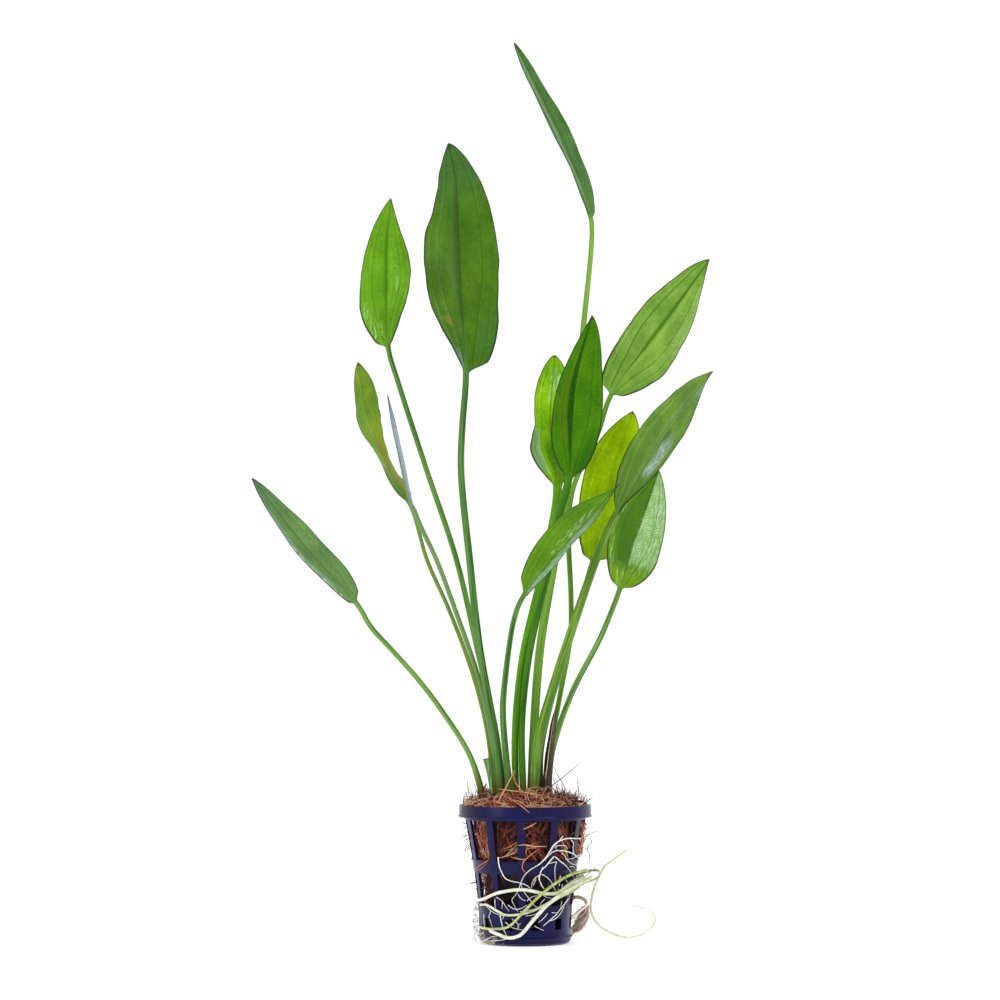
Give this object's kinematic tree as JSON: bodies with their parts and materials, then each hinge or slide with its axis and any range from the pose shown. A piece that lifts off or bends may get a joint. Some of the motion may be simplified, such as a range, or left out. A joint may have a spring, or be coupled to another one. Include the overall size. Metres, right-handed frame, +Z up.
{
  "type": "potted echinodorus",
  "caption": "Amazon sword water plant with long-stalked lance-shaped leaves, standing in a small net pot of coconut fibre with pale roots wrapped round it.",
  "frame": {"origin": "middle of the pot's flat underside, where it stands", "axes": "+Z up through the plant, -Y towards the viewer of the picture, +X to the viewer's right"},
  "size_m": [0.1746, 0.0983, 0.351],
  "materials": {
    "pot_plastic": "dark navy moulded polypropylene, wet and slightly glossy",
    "coir": "wet reddish-brown coconut fibre, loose strands",
    "crown_tissue": "short knobbly rhizome, greenish brown",
    "leaf_blade": "wet living leaf, glossy, thin and slightly see-through, with sunk veins",
    "dead_leaf": "dead petiole sheath, dark brown with pale streaks",
    "root_skin": "living root, white to yellow-green, smooth and wet"
  },
  "bodies": {
    "root": {"pot": "pot_plastic", "coir_plug": "coir", "coir_tail": "coir", "crown": "crown_tissue", "leaf_far_left": "leaf_blade", "leaf_yellow_twisted": "leaf_blade", "leaf_edge_on": "leaf_blade", "leaf_left_upright": "leaf_blade", "leaf_largest": "leaf_blade", "leaf_tallest": "leaf_blade", "leaf_centre_front": "leaf_blade", "leaf_centre_back": "leaf_blade", "leaf_right_upper": "leaf_blade", "leaf_right_long": "leaf_blade", "leaf_right_yellow": "leaf_blade", "leaf_right_lower": "leaf_blade", "leaf_front_low": "leaf_blade", "cut_leaf_stub": "leaf_blade", "old_sheath": "dead_leaf", "root_wrap_upper": "root_skin", "root_wrap_middle": "root_skin", "root_wrap_lower": "root_skin", "root_wrap_thick": "root_skin", "root_loose_curl": "root_skin", "root_thin_right": "root_skin", "root_back_brown": "root_skin", "root_back_pale": "root_skin"}
  },
  "joints": []
}
